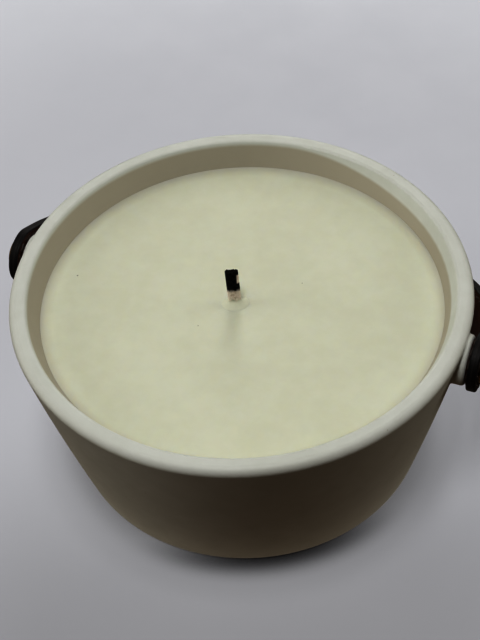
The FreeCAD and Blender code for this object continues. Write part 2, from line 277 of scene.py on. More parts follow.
def makeLeatherGrain():
    # pebbled cells with creases between them, over a slow rise and fall
    group, given, out = newGroup(
        "leatherGrain",
        {"Vector": vectorSocket, "Scale": floatSocket},
        {"Height": floatSocket, "Crease": floatSocket},
    )
    vector = given["Vector"]
    inputs = {"Vector": vector, "Scale": grainSpec["warpScale"], "Detail": 2.0}
    warp = addNode(group, "ShaderNodeTexNoise", inputs).outputs["Color"]
    inputs = {0: warp, "Scale": grainSpec["warp"]}
    offset = addNode(group, "ShaderNodeVectorMath", inputs, operation="SCALE").outputs[0]
    moved = addNode(group, "ShaderNodeVectorMath", {0: vector, 1: offset}, operation="ADD").outputs[0]
    inputs = {"Vector": moved, "Scale": given["Scale"]}
    cells = addNode(group, "ShaderNodeTexVoronoi", inputs, feature="DISTANCE_TO_EDGE")
    pebble = fadeBetween(group, cells.outputs["Distance"], 0.0, grainSpec["pebbleEdge"])
    slow = noiseAt(group, vector, grainSpec["slowScale"], detail=3.0)
    pores = noiseAt(group, vector, grainSpec["poreScale"], detail=2.0)
    height = mathNode(group, "MULTIPLY_ADD", slow, grainSpec["slowShare"], pebble)
    total = mathNode(group, "MULTIPLY_ADD", pores, grainSpec["poreShare"], height)
    group.links.new(total, out["Height"])
    group.links.new(mathNode(group, "SUBTRACT", 1.0, pebble), out["Crease"])
    return group


def makeRubbedMetal():
    # fine drawn marks and cloudy tarnish
    group, given, out = newGroup(
        "rubbedMetal",
        {"Vector": vectorSocket, "Scale": floatSocket},
        {"Tarnish": floatSocket, "Marks": floatSocket},
    )
    cloud = noiseAt(group, given["Vector"], given["Scale"], detail=6.0, roughness=0.65)
    group.links.new(fadeBetween(group, cloud, *rubSpec["tarnish"]), out["Tarnish"])
    drawn = stretch(group, given["Vector"], rubSpec["markStretch"])
    group.links.new(noiseAt(group, drawn, rubSpec["markScale"], detail=3.0), out["Marks"])
    return group


mottle = makeMottle()
specks = makeSpecks()
leatherGrain = makeLeatherGrain()
rubbedMetal = makeRubbedMetal()
print("shared effects ready")


# Strap geometry that its finish and stitching follow

strapSpec = {
    "flat": 4.8,  # straight stretch from the stud axis to the bend
    "droop": 28.4,  # degrees below level
    "liningPly": 0.8,
    "stitchInset": 1.35,
    "stitchPitch": 3.1,
    "stitchSlant": 7.0,  # degrees
    "outerLift": 0.05,  # how far the stitches stand off each face
    "liningLift": 0.02,
}
strapLow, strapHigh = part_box("strap_outer")
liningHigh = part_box("strap_lining")[1]
studHeight = frame["joints"][0]["pos_m"][2]
strapHalfWidth = -strapLow.y
strapDroop = math.radians(strapSpec["droop"])
strapFrame = Matrix.Translation((0, 0, studHeight)) @ Matrix.Rotation(-strapDroop, 4, "X")


def makeStrapBorder():
    # distance in from the strap's cut edge, in millimetres, round its ends as well
    group, given, out = newGroup("strapBorder", {"Vector": vectorSocket}, {"FromEdge": floatSocket})
    back = strapFrame.inverted().translation
    level = stretch(group, given["Vector"], (1, 1, 1), location=back, rotation=(strapDroop, 0, 0))
    parts = addNode(group, "ShaderNodeSeparateXYZ", {0: level}).outputs
    pastStud = mathNode(group, "MINIMUM", parts["Y"], 0.0)
    offset = addNode(group, "ShaderNodeCombineXYZ", {"X": pastStud, "Y": parts["Z"]}).outputs[0]
    inside = mathNode(group, "SUBTRACT", strapHalfWidth, lengthOf(group, offset))
    group.links.new(multiply(group, inside, 1 / mm), out["FromEdge"])
    return group


strapBorder = makeStrapBorder()


# Pot finish: mottled glaze, bare clay at the foot, a wax film inside, its darkness partly painted shade on
# the inner wall

flatScale = (1.0, 1.0, 0.0)  # leaves only the distance across
potSpec = {
    "glazeDark": (0.695, 0.725, 0.685, 1),
    "glazeLight": (0.745, 0.777, 0.745, 1),
    "cloudScale": 34.0,
    "speck": (0.42, 0.37, 0.28, 1),
    "specks": {"Scale": 420.0, "Size": 0.07, "Share": 0.16},
    "speckDepth": 0.35,
    "footClay": (0.52, 0.47, 0.38, 1),
    "footHeight": 0.9,
    "footBare": 0.1,  # below this height all clay
    # wax film colour on the inner wall, darker partly as painted shade
    "filmAndShade": (0.475, 0.435, 0.34, 1),
    "filmShare": 0.8,
    "filmTop": 49.5,  # fades towards the lip
    "filmBlend": 1.0,
    "filmFoot": 40.0,
    "filmReach": 51.9,  # nothing further from the axis has any
    "litSideWay": (0.919, 0.394, 0),  # painted light: the side where the film ends lower, leaving the lit inner wall pale
    "litSideDrop": 2.4,
    "dropFrom": 15.0,
    "dropTo": 47.0,
    "swellScale": 55.0,
    "swellBump": (0.35, 0.5),  # strength and depth
    "skinScale": 1500.0,
    "skinBump": (0.12, 0.08),
    "glossScale": 180.0,
    "gloss": (0.46, 0.6),
    "specular": 0.42,
}


def filmAndShadeMask(tree, coords, height):
    # where the wax has left a film, on the inner wall above the fill; its darkness is partly painted shade
    fromAxis = lengthOf(tree, stretch(tree, coords, flatScale))
    inside = mathNode(tree, "LESS_THAN", fromAxis, potSpec["filmReach"] * mm)
    # painted light: the film's top is lowered on the lit side of the inner wall
    aside = reachAlong(tree, coords, potSpec["litSideWay"])
    dropRange = (potSpec["dropFrom"] * mm, potSpec["dropTo"] * mm)
    litDrop = fadeBetween(tree, aside, *dropRange, 0.0, potSpec["litSideDrop"] * mm)
    filmTop = potSpec["filmTop"] * mm
    raised = mathNode(tree, "ADD", height, litDrop)
    fade = fadeBetween(tree, raised, filmTop, filmTop - potSpec["filmBlend"] * mm)
    aboveWax = mathNode(tree, "GREATER_THAN", height, potSpec["filmFoot"] * mm)
    return multiply(tree, multiply(tree, inside, aboveWax), fade)


def makeCeramic():
    material, tree, shader, coords = newMaterial("ceramicGlaze")
    tones = mottled(tree, coords, potSpec["cloudScale"], potSpec["glazeDark"], potSpec["glazeLight"])
    height = addNode(tree, "ShaderNodeSeparateXYZ", {0: coords}).outputs["Z"]
    dots = useGroup(tree, specks, Vector=coords, **potSpec["specks"])["Mask"]
    dotShare = multiply(tree, dots, potSpec["speckDepth"])
    speckled = mixColour(tree, dotShare, tones, potSpec["speck"])
    foot = fadeBetween(tree, height, potSpec["footHeight"] * mm, potSpec["footBare"] * mm)
    bare = mixColour(tree, foot, speckled, potSpec["footClay"])
    # wax film and painted shade on the inner wall above the fill
    filmShade = multiply(tree, filmAndShadeMask(tree, coords, height), potSpec["filmShare"])
    filmedAndShaded = mixColour(tree, filmShade, bare, potSpec["filmAndShade"])
    swell = noiseAt(tree, coords, potSpec["swellScale"], detail=2.0)
    skin = noiseAt(tree, coords, potSpec["skinScale"], detail=3.0)
    broadBump = bumpFrom(tree, swell, *potSpec["swellBump"])
    fineBump = bumpFrom(tree, skin, *potSpec["skinBump"], broadBump)
    gloss = spreadNoise(tree, noiseAt(tree, coords, potSpec["glossScale"], detail=5.0), potSpec["gloss"])
    setShader(tree, shader, Base_Color=filmedAndShaded, Roughness=gloss, Normal=fineBump)
    setShader(tree, shader, Specular_IOR_Level=potSpec["specular"])
    return material


# Wick and wax sizes and finishes

wickSpec = {
    "ash": (0.010, 0.009, 0.009, 1),
    "char": (0.0035, 0.003, 0.003, 1),
    "burntScale": 1100.0,
    "cottonDark": (0.86, 0.76, 0.68, 1),
    "cottonLight": (0.95, 0.88, 0.81, 1),
    "cottonScale": 900.0,
    "fibreStretch": (1.0, 1.0, 0.25),
    "soakHeight": 2.4,  # how far the wax has climbed up the cotton
    "soakShare": 0.7,
    "charStart": 48.1,  # the middle of the ragged burnt line
    "charBelow": 1.1,
    "charAbove": 0.2,
    "raggedScale": 700.0,
    "ragged": 1.6,
    "paleEdge": (0.5, 1.0),  # char held back in a streak along one narrow edge, across the wick
    "paleFoot": (49.9, 50.5),
    "paleTop": (53.3, 52.6),
    "crumbScale": 2600.0,
    "crumbBump": (0.6, 0.12),
    "rough": (0.62, 0.95),  # cotton and char
    "specular": 0.2,
    "offset": -1.6,  # off the middle of the bowl, along X
    "turn": 23.0,  # degrees that its flat side is turned
    "lean": 0.4,  # how far the tip stands to the left of the foot
    "strandsEachWay": 5,
    "strandRadius": 0.36,
    "strandSteps": 40,
    "halfWidth": 1.24,
    "halfThickness": 0.42,
    "coreRadius": 0.6,
    "coreShares": (-1, -0.5, 0, 0.5, 1),  # across the wick
    "coreSteps": 6,
    "coreDrop": 0.15,  # ends this far below the tip
    "topDrop": 0.12,
    "topStep": 0.14,  # strands end at three heights
    "topKinds": 3,
    "weave": 0.09,
    "pitch": 9.5,
    "sink": 1.0,
}
wickTurn = math.radians(wickSpec["turn"])
wickPlace = Matrix.Translation((wickSpec["offset"] * mm, 0, 0))
wickFrame = wickPlace @ Matrix.Rotation(wickTurn, 4, "Z")
waxSpec = {
    "deep": (0.755, 0.782, 0.655, 1),
    "pale": (0.795, 0.826, 0.705, 1),
    "cloudScale": 42.0,
    "soot": (0.05, 0.04, 0.03, 1),
    "flecks": {"Scale": 260.0, "Size": 0.055, "Share": 0.05},
    "fleckDepth": 0.5,
    "sootReach": 9.0,
    "sootCore": 2.0,  # dustiest within this distance of the wick
    "sootScale": 900.0,
    "sootDepth": 0.1,
    "edge": (0.58, 0.55, 0.43, 1),  # painted shade: wax darkened where it meets the wall
    "edgeRun": 3.2,
    "edgeShare": 0.5,
    "frostScale": 620.0,
    "frostBump": (0.1, 0.12),
    "glossScale": 75.0,
    "gloss": (0.5, 0.64),
    "specular": 0.3,
    "scatter": 4.0,
    "scatterColour": (1.0, 0.85, 0.5),
    "poolDepth": 0.35,  # share of scattered light in the fill
    "collarDepth": 0.0,  # and in the thin collar
}


def makeWaxMaterial(name, depth):
    material, tree, shader, coords = newMaterial(name)
    tones = mottled(tree, coords, waxSpec["cloudScale"], waxSpec["deep"], waxSpec["pale"])
    flecks = useGroup(tree, specks, Vector=coords, **waxSpec["flecks"])["Mask"]
    toWick = stretch(tree, coords, flatScale, location=(-wickSpec["offset"] * mm, 0, 0))
    nearRange = (waxSpec["sootReach"] * mm, waxSpec["sootCore"] * mm)
    nearWick = fadeBetween(tree, lengthOf(tree, toWick), *nearRange)
    dusting = multiply(tree, noiseAt(tree, coords, waxSpec["sootScale"]), nearWick)
    dust = multiply(tree, dusting, waxSpec["sootDepth"])
    spots = multiply(tree, flecks, waxSpec["fleckDepth"])
    dusted = mixColour(tree, mathNode(tree, "ADD", dust, spots), tones, waxSpec["soot"])
    fromAxis = lengthOf(tree, stretch(tree, coords, flatScale))
    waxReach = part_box("wax_fill")[1].x
    edgeStart = waxReach - waxSpec["edgeRun"] * mm
    # painted shade: the wax darkens towards the wall
    nearWall = fadeBetween(tree, fromAxis, edgeStart, waxReach, 0.0, waxSpec["edgeShare"])
    colour = mixColour(tree, nearWall, dusted, waxSpec["edge"])
    frost = noiseAt(tree, coords, waxSpec["frostScale"], detail=5.0, roughness=0.6)
    gloss = spreadNoise(tree, noiseAt(tree, coords, waxSpec["glossScale"]), waxSpec["gloss"])
    normal = bumpFrom(tree, frost, *waxSpec["frostBump"])
    setShader(tree, shader, Base_Color=colour, Roughness=gloss, Normal=normal)
    setShader(tree, shader, Specular_IOR_Level=waxSpec["specular"])
    setShader(tree, shader, Subsurface_Weight=depth, Subsurface_Scale=waxSpec["scatter"] * mm)
    setShader(tree, shader, Subsurface_Radius=waxSpec["scatterColour"])
    return material


def makeWickMaterial():
    material, tree, shader, coords = newMaterial("charredCotton")
    height = addNode(tree, "ShaderNodeSeparateXYZ", {0: coords}).outputs["Z"]
    wander = noiseAt(tree, coords, wickSpec["raggedScale"], detail=3.0)
    ragged = mathNode(tree, "MULTIPLY_ADD", wander, wickSpec["ragged"] * mm, height)
    start = (wickSpec["charStart"] + wickSpec["ragged"] / 2) * mm
    charFoot = start - wickSpec["charBelow"] * mm
    charred = fadeBetween(tree, ragged, charFoot, start + wickSpec["charAbove"] * mm)
    fibres = stretch(tree, coords, wickSpec["fibreStretch"])
    clean = mottled(tree, fibres, wickSpec["cottonScale"], wickSpec["cottonDark"], wickSpec["cottonLight"])
    burnt = mottled(tree, coords, wickSpec["burntScale"], wickSpec["char"], wickSpec["ash"])
    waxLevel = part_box("wax_fill")[1].z
    soakTop = waxLevel + wickSpec["soakHeight"] * mm
    soaked = fadeBetween(tree, height, soakTop, waxLevel, 0.0, wickSpec["soakShare"])
    waxed = mixColour(tree, soaked, clean, waxSpec["pale"])
    along = reachAlong(tree, coords, (math.cos(wickTurn), math.sin(wickTurn), 0))
    middle = wickSpec["offset"] * mm * math.cos(wickTurn)
    edgeStart, edgeEnd = (middle + reach * mm for reach in wickSpec["paleEdge"])
    # the char colour is held back along one narrow edge, between two heights
    paleStreak = fadeBetween(tree, along, edgeStart, edgeEnd)
    for outer, inner in (wickSpec["paleFoot"], wickSpec["paleTop"]):
        paleStreak = multiply(tree, paleStreak, fadeBetween(tree, height, outer * mm, inner * mm))
    charred = mathNode(tree, "SUBTRACT", charred, multiply(tree, paleStreak, charred))
    colour = mixColour(tree, charred, waxed, burnt)
    crumbs = noiseAt(tree, coords, wickSpec["crumbScale"], detail=5.0, roughness=0.65)
    rough = fadeBetween(tree, charred, 0.0, 1.0, *wickSpec["rough"])
    normal = bumpFrom(tree, crumbs, *wickSpec["crumbBump"])
    setShader(tree, shader, Base_Color=colour, Roughness=rough, Normal=normal)
    setShader(tree, shader, Specular_IOR_Level=wickSpec["specular"])
    return material


# Strap finishes

leatherSpec = {
    "cloudScale": 160.0,
    "creaseShare": 0.6,
    "paint": (0.5, 0.2),  # the painted edge, in from the cut
    "seam": (0.25, 0.6),  # the groove that the stitches lie in
    "grainDepth": 0.14,
    "seamBump": (0.7, 0.22),
    "wearScale": 140.0,
    "specular": 0.36,
}
outerLeatherSpec = {
    "dark": (0.010, 0.008, 0.007, 1),
    "light": (0.026, 0.019, 0.016, 1),
    "crease": (0.004, 0.003, 0.003, 1),
    "edgePaint": (0.006, 0.005, 0.005, 1),
    "grain": 1150.0,
    "relief": 0.45,
    "gloss": (0.48, 0.64),
}
liningLeatherSpec = {
    "dark": (0.085, 0.026, 0.016, 1),
    "light": (0.15, 0.05, 0.03, 1),
    "crease": (0.04, 0.013, 0.009, 1),
    "edgePaint": (0.006, 0.005, 0.005, 1),
    "grain": 1700.0,
    "relief": 0.25,
    "gloss": (0.45, 0.6),
}
washerLeatherSpec = dict(liningLeatherSpec, dark=(0.02, 0.01, 0.008, 1), light=(0.04, 0.02, 0.014, 1))
boardSpec = {
    "dark": (0.006, 0.005, 0.005, 1),
    "light": (0.013, 0.010, 0.009, 1),
    "cloudScale": 500.0,
    "fibreScale": 2200.0,
    "fibreBump": (0.2, 0.06),
    "gloss": (0.5, 0.75),
}
threadSpec = {
    "dark": (0.032, 0.022, 0.017, 1),
    "light": (0.085, 0.06, 0.044, 1),
    "cloudScale": 900.0,
    "twist": {"Scale": 900.0, "Distortion": 2.0},
    "twistBump": (0.4, 0.06),
    "rough": (0.4, 0.6),
}


def makeLeather(name, spec):
    material, tree, shader, coords = newMaterial(name)
    fromEdge = useGroup(tree, strapBorder, Vector=coords)["FromEdge"]
    tones = mottled(tree, coords, leatherSpec["cloudScale"], spec["dark"], spec["light"])
    grain = useGroup(tree, leatherGrain, Vector=coords, Scale=spec["grain"])
    creaseShare = multiply(tree, grain["Crease"], leatherSpec["creaseShare"])
    creased = mixColour(tree, creaseShare, tones, spec["crease"])
    painted = fadeBetween(tree, fromEdge, *leatherSpec["paint"])
    colour = mixColour(tree, painted, creased, spec["edgePaint"])
    fromRow = mathNode(tree, "SUBTRACT", fromEdge, strapSpec["stitchInset"])
    seam = fadeBetween(tree, mathNode(tree, "ABSOLUTE", fromRow), *leatherSpec["seam"])
    unpainted = mathNode(tree, "SUBTRACT", 1.0, painted)
    grainHeight = multiply(tree, grain["Height"], unpainted)
    grainBump = bumpFrom(tree, grainHeight, spec["relief"], leatherSpec["grainDepth"])
    seamBump = bumpFrom(tree, seam, *leatherSpec["seamBump"], grainBump)
    gloss = spreadNoise(tree, noiseAt(tree, coords, leatherSpec["wearScale"]), spec["gloss"])
    setShader(tree, shader, Base_Color=colour, Roughness=gloss, Normal=seamBump)
    setShader(tree, shader, Specular_IOR_Level=leatherSpec["specular"])
    return material


def makeBoard(name, spec):
    material, tree, shader, coords = newMaterial(name)
    tones = mottled(tree, coords, spec["cloudScale"], spec["dark"], spec["light"])
    fibre = noiseAt(tree, coords, spec["fibreScale"])
    rough = spreadNoise(tree, fibre, spec["gloss"])
    normal = bumpFrom(tree, fibre, *spec["fibreBump"])
    setShader(tree, shader, Base_Color=tones, Roughness=rough, Normal=normal)
    return material


def makeThread(name, spec):
    material, tree, shader, coords = newMaterial(name)
    tones = mottled(tree, coords, spec["cloudScale"], spec["dark"], spec["light"])
    twist = addNode(tree, "ShaderNodeTexWave", {"Vector": coords, **spec["twist"]}).outputs["Fac"]
    rough = fadeBetween(tree, twist, 0.0, 1.0, *spec["rough"])
    normal = bumpFrom(tree, twist, *spec["twistBump"])
    setShader(tree, shader, Base_Color=tones, Roughness=rough, Normal=normal)
    return material


# Metal and foam finishes

brassSpec = {
    "bright": (0.56, 0.39, 0.20, 1),
    "dull": (0.30, 0.19, 0.10, 1),
    "cloud": 320.0,
    "gloss": (0.24, 0.42),
    "markBump": (0.15, 0.03),
}
eyeletSpec = dict(brassSpec, bright=(0.48, 0.33, 0.17, 1), dull=(0.26, 0.165, 0.09, 1), cloud=420.0)
insertSpec = dict(brassSpec, bright=(0.60, 0.46, 0.24, 1), dull=(0.40, 0.28, 0.15, 1), gloss=(0.35, 0.5))
tabSpec = dict(brassSpec, bright=(0.62, 0.62, 0.60, 1), dull=(0.42, 0.42, 0.41, 1), gloss=(0.3, 0.45))
foamSpec = {
    "dark": (0.62, 0.61, 0.58, 1),
    "light": (0.78, 0.77, 0.74, 1),
    "cloudScale": 700.0,
    "cellScale": 2400.0,
    "cells": (0.1, 0.7),
    "rough": (0.7, 0.9),
    "cellBump": (0.3, 0.1),
}


def makeMetal(name, spec):
    material, tree, shader, coords = newMaterial(name)
    wear = useGroup(tree, rubbedMetal, Vector=coords, Scale=spec["cloud"])
    colour = mixColour(tree, wear["Tarnish"], spec["bright"], spec["dull"])
    rough = fadeBetween(tree, wear["Tarnish"], 0.0, 1.0, *spec["gloss"])
    normal = bumpFrom(tree, wear["Marks"], *spec["markBump"])
    setShader(tree, shader, Base_Color=colour, Roughness=rough, Normal=normal, Metallic=1.0)
    return material


def makeFoam(name, spec):
    material, tree, shader, coords = newMaterial(name)
    tones = mottled(tree, coords, spec["cloudScale"], spec["dark"], spec["light"])
    inputs = {"Vector": coords, "Scale": spec["cellScale"]}
    cells = addNode(tree, "ShaderNodeTexVoronoi", inputs).outputs["Distance"]
    rough = fadeBetween(tree, cells, *spec["cells"], *spec["rough"])
    normal = bumpFrom(tree, cells, *spec["cellBump"])
    setShader(tree, shader, Base_Color=tones, Roughness=rough, Normal=normal)
    return material


ceramic = makeCeramic()
wax = makeWaxMaterial("pouredWax", waxSpec["poolDepth"])
collarWax = makeWaxMaterial("collarWax", waxSpec["collarDepth"])
cotton = makeWickMaterial()
outerLeather = makeLeather("strapLeather", outerLeatherSpec)
liningLeather = makeLeather("liningLeather", liningLeatherSpec)
washerLeather = makeLeather("washerLeather", washerLeatherSpec)
board = makeBoard("coreBoard", boardSpec)
studBrass = makeMetal("studBrass", brassSpec)
eyeletBrass = makeMetal("eyeletBrass", eyeletSpec)
insertBrass = makeMetal("insertBrass", insertSpec)
tabSteel = makeMetal("tabSteel", tabSpec)
foam = makeFoam("stickerFoam", foamSpec)
thread = makeThread("waxedThread", threadSpec)
finishes = {
    "pot": ceramic,
    "wax_fill": wax,
    "wick": cotton,
    "wick_sustainer": tabSteel,
    "wick_sticker": foam,
    "strap_outer": outerLeather,
    "strap_core": board,
    "strap_lining": liningLeather,
}
for side in ("left", "right"):
    finishes[f"{side}_stud"] = studBrass
    finishes[f"{side}_washer"] = washerLeather
    finishes[f"{side}_insert"] = insertBrass
    finishes[f"{side}_eyelet"] = eyeletBrass
    finishes[f"{side}_eyelet_ring"] = eyeletBrass
for nodeName, material in finishes.items():
    dress(nodes[nodeName], material)
print(f"dressed {len(finishes)} nodes")


# Wick: a flat braid of cotton strands over a core, burnt at the top

tubeSpec = {"order": 3, "resolution": 2, "roundness": 1}
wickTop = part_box("wick")[1].z
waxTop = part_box("wax_fill")[1].z
wickFoot = waxTop - wickSpec["sink"] * mm


def wickCentre(height):
    # leans to one side once it is out of the wax
    share = (height - wickFoot) / (wickTop - wickFoot)
    return Vector((-wickSpec["lean"] * mm * share, 0, height))


def tubeAlong(name, points, radius):
    deselectAll()
    bpy.ops.curve.primitive_nurbs_path_add()
    curve = bpy.context.object
    curve.name = name
    spline = curve.data.splines[0]
    spline.points.add(len(points) - len(spline.points))
    for point, place in zip(spline.points, points):
        point.co = (*place, 1)
    spline.order_u = tubeSpec["order"]
    spline.use_endpoint_u = True
    spline.resolution_u = tubeSpec["resolution"]
    curve.data.bevel_depth = radius
    curve.data.bevel_resolution = tubeSpec["roundness"]
    curve.data.use_fill_caps = True
    bpy.ops.object.convert(target="MESH")
    return bpy.context.object


def strandPoints(index, direction):
    # runs slantwise over one flat side, round the narrow edge and back over the other
    each = wickSpec["strandsEachWay"]
    pitch = wickSpec["pitch"] * mm
    kind = (index * 2 + (direction > 0)) % wickSpec["topKinds"]
    top = wickTop - (wickSpec["topDrop"] + wickSpec["topStep"] * kind) * mm
    steps = wickSpec["strandSteps"]
    points = []
    for step in range(steps + 1):
        height = wickFoot + (top - wickFoot) * step / steps
        turn = 2 * math.pi * (height - wickFoot) / pitch
        angle = 2 * math.pi * index / each + direction * turn
        over = wickSpec["halfThickness"] + direction * wickSpec["weave"] * math.cos(each * turn)
        around = Vector((wickSpec["halfWidth"] * math.cos(angle), over * math.sin(angle), 0)) * mm
        points.append(wickCentre(height) + around)
    return points


def corePoints(share):
    # one straight filler, at a share of the way from the middle to the narrow edge
    reach = (wickSpec["halfWidth"] - 0.5 * wickSpec["halfThickness"]) * mm
    aside = Vector((reach * share, 0, 0))
    length = wickTop - wickSpec["coreDrop"] * mm - wickFoot
    steps = wickSpec["coreSteps"]
    heights = [wickFoot + length * step / steps for step in range(steps + 1)]
    return [wickCentre(height) + aside for height in heights]


def makeWick():
    strands = []
    for direction in (1, -1):
        for index in range(wickSpec["strandsEachWay"]):
            points = strandPoints(index, direction)
            strands.append(tubeAlong("strand", points, wickSpec["strandRadius"] * mm))
    for share in wickSpec["coreShares"]:
        strands.append(tubeAlong("core", corePoints(share), wickSpec["coreRadius"] * mm))
    piece = joinPieces(strands, "wick_braid")
    piece.data.transform(wickFrame)
    smoothShade(piece)
    dress(piece, cotton)
    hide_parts("wick")
    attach(piece, "bowl")


makeWick()
print("wick braided")


# Wax collar: what has climbed the foot of the wick

collarSpec = {
    "sides": 48,
    "rings": 9,
    "reach": 2.3,  # how far it spreads over the wax
    "height": 2.5,
    "hollow": 2.4,  # power of its hollow slope
    "sink": 0.75,  # below the raised edge of the wax, so that its rim lies under the surface
    "tuck": 0.25,  # how far its top closes in under the strands
}


def collarRing(share):
    # half sizes and height of the ring at a share of the collar's height
    spread = collarSpec["reach"] * (1 - share) ** collarSpec["hollow"] - collarSpec["tuck"]
    halfWidth = wickSpec["halfWidth"] + wickSpec["strandRadius"] + spread
    halfDepth = wickSpec["halfThickness"] + wickSpec["strandRadius"] + spread
    return Vector((halfWidth, halfDepth, collarSpec["height"] * share))


def makeCollar():
    deselectAll()
    bpy.ops.mesh.primitive_circle_add(vertices=collarSpec["sides"], radius=mm, fill_type="NGON")
    collar = bpy.context.object
    collar.name = collar.data.name = "wax_collar"
    editMode()
    last = collarRing(0)
    bpy.ops.transform.resize(value=(last.x, last.y, 1))
    bpy.ops.transform.translate(value=(0, 0, waxTop - collarSpec["sink"] * mm))
    for ring in range(1, collarSpec["rings"] + 1):
        outline = collarRing(ring / collarSpec["rings"])
        step = (0, 0, (outline.z - last.z) * mm)
        extrudeRing(step, (outline.x / last.x, outline.y / last.y, 1))
        last = outline
    cleanMesh()
    objectMode()
    collar.data.transform(wickFrame)
    smoothShade(collar)
    dress(collar, collarWax)
    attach(collar, "bowl")


makeCollar()
print("wick collared with wax")


# Stitching: one stitch, copied all round the strap on both faces

stitchSpec = {
    "length": 2.5,
    "radius": 0.27,
    "sides": 8,
    "endSize": 0.7,  # shares of the thread's radius
    "endDepth": 0.9,
    "spans": (  # shares of the length, rises in radii, and growth
        (0.12, 0.75, 1.3),
        (0.22, 0.35, 1.1),
        (0.32, 0.0, 1.0),
        (0.22, -0.35, 1 / 1.1),
        (0.12, -0.75, 1 / 1.3),
    ),
}


def strapPoint(along, across, faceRadius):
    # a place on a strap face, the way its seam runs there and the way out, in the strap's level frame
    flat = strapSpec["flat"] * mm
    bendLength = math.pi * faceRadius
    if along < flat:
        return Vector((faceRadius, along, across)), Vector((0, 1, 0)), Vector((1, 0, 0))
    if along > flat + bendLength:
        back = 2 * flat + bendLength - along
        return Vector((-faceRadius, back, across)), Vector((0, -1, 0)), Vector((-1, 0, 0))
    angle = (along - flat) / faceRadius
    outward = Vector((math.cos(angle), math.sin(angle), 0))
    centre = Vector((0, flat, across))
    return centre + outward * faceRadius, Vector((-math.sin(angle), math.cos(angle), 0)), outward


def seamPoint(distance, faceRadius, row):
    # walks the closed seam: along the upper edge, round the left end, back, and round the right end
    run = 2 * strapSpec["flat"] * mm + math.pi * faceRadius
    turn = math.pi * row
    if distance < run:
        return strapPoint(distance, row, faceRadius)
    if distance < run + turn:
        angle = (distance - run) / row
        side = -1
    elif distance < 2 * run + turn:
        place, way, outward = strapPoint(2 * run + turn - distance, -row, faceRadius)
        return place, -way, outward
    else:
        angle = (distance - 2 * run - turn) / row + math.pi
        side = 1
    place = Vector((side * faceRadius, side * row * math.sin(angle), row * math.cos(angle)))
    way = Vector((0, side * math.cos(angle), -math.sin(angle)))
    return place, way, Vector((side, 0, 0))


def makeStitch():
    # a short thread that rises from one hole and dips into the next
    length = stitchSpec["length"] * mm
    radius = stitchSpec["radius"] * mm
    deselectAll()
    bpy.ops.mesh.primitive_circle_add(
        vertices=stitchSpec["sides"],
        radius=radius * stitchSpec["endSize"],
        fill_type="NGON",
        rotation=(0, math.pi / 2, 0),
    )
    stitch = bpy.context.object
    bpy.ops.object.transform_apply(location=False, rotation=True, scale=False)
    editMode()
    bpy.ops.transform.translate(value=(-length / 2, 0, -radius * stitchSpec["endDepth"]))
    for share, rise, grow in stitchSpec["spans"]:
        extrudeRing((length * share, 0, radius * rise), (1, grow, grow))
    cleanMesh()
    objectMode()
    return stitch


def makeSeam(name, faceRadius, facing, lift):
    row = strapHalfWidth - strapSpec["stitchInset"] * mm
    loop = 2 * (2 * strapSpec["flat"] * mm + math.pi * faceRadius + math.pi * row)
    count = round(loop / (strapSpec["stitchPitch"] * mm))
    slant = Matrix.Rotation(math.radians(strapSpec["stitchSlant"]), 4, "Z")
    pattern = makeStitch()
    copies = []
    for index in range(count):
        place, way, outward = seamPoint((index + 0.5) * loop / count, faceRadius, row)
        up = outward * facing
        turned = Matrix((way, up.cross(way), up)).transposed().to_4x4()
        copy = pattern.copy()
        copy.data = pattern.data.copy()
        bpy.context.collection.objects.link(copy)
        raised = Matrix.Translation(place + up * lift * mm)
        copy.data.transform(strapFrame @ raised @ (turned @ slant))
        copies.append(copy)
    bpy.data.objects.remove(pattern)
    seam = joinPieces(copies, name)
    smoothShade(seam)
    dress(seam, thread)
    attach(seam, "handle")


liningFace = liningHigh.x - strapSpec["liningPly"] * mm
makeSeam("outer_stitching", strapHigh.x, 1, strapSpec["outerLift"])
makeSeam("lining_stitching", liningFace, -1, strapSpec["liningLift"])
print("strap stitched")


# Stage: floor, lights and camera

cameraSpec = {
    "focalPixels": 1480.245,
    "frameHeight": 640,
    "sensor": 36.0,
    "distance": 351.557,
    "elevation": 46.39,
    "azimuth": 23.18,
    "pitch": 1.387,
    "yaw": -0.1027,
    "roll": -4.0734,
}
heading = math.radians(cameraSpec["azimuth"])
stageSpec = {
    "floorSize": 12000.0,
    "floorDark": (0.26, 0.265, 0.285, 1),
    "floorLight": (0.28, 0.285, 0.305, 1),
    "cloudScale": 3.0,
    "glossScale": 40.0,
    "gloss": (0.6, 0.75),
    "floorWarm": (0.085, 0.053, 0.025, 1),  # what the pot sees of the floor
    "floorGlow": (0.36, 0.365, 0.385, 1),  # painted light: a glow seen by the camera that keeps the floor's shadows pale
    "bounceFar": (0.006, 0.004, 0.002, 1),  # warm light back onto the wall
    "bounceNear": (0.20, 0.17, 0.137, 1),
    "bounceFrom": 48.0,
    "bounceReach": 70.0,
    "floorFar": (0.50, 0.51, 0.53, 1),
    "farFrom": 120.0,  # out of the photo's frame the floor is evenly pale
    "farTo": 260.0,
    "dimFrom": 15.0,  # painted shade: the floor's glow dims towards the camera
    "dimTo": -75.0,
    "dimmest": 0.58,
    "shadow": (0.0, 0.0, 0.0, 1),
    "contactReach": 7.0,  # the shadow close to the foot
    "contactSamples": 12,
    "contactFrom": 0.3,
    "contactLeast": 0.25,  # share of it away from the front
    "shadowWay": (0.087, -0.996),  # towards the camera and a little to the right
    "shadowFrom": 33.0,
    "shadowTo": 47.0,
    "world": (1.0, 0.5, 0.15, 1),
    "worldStrength": 0.03,
    "contrast": 0.62,  # display gamma, below 1 for the photo's deep shadows
}
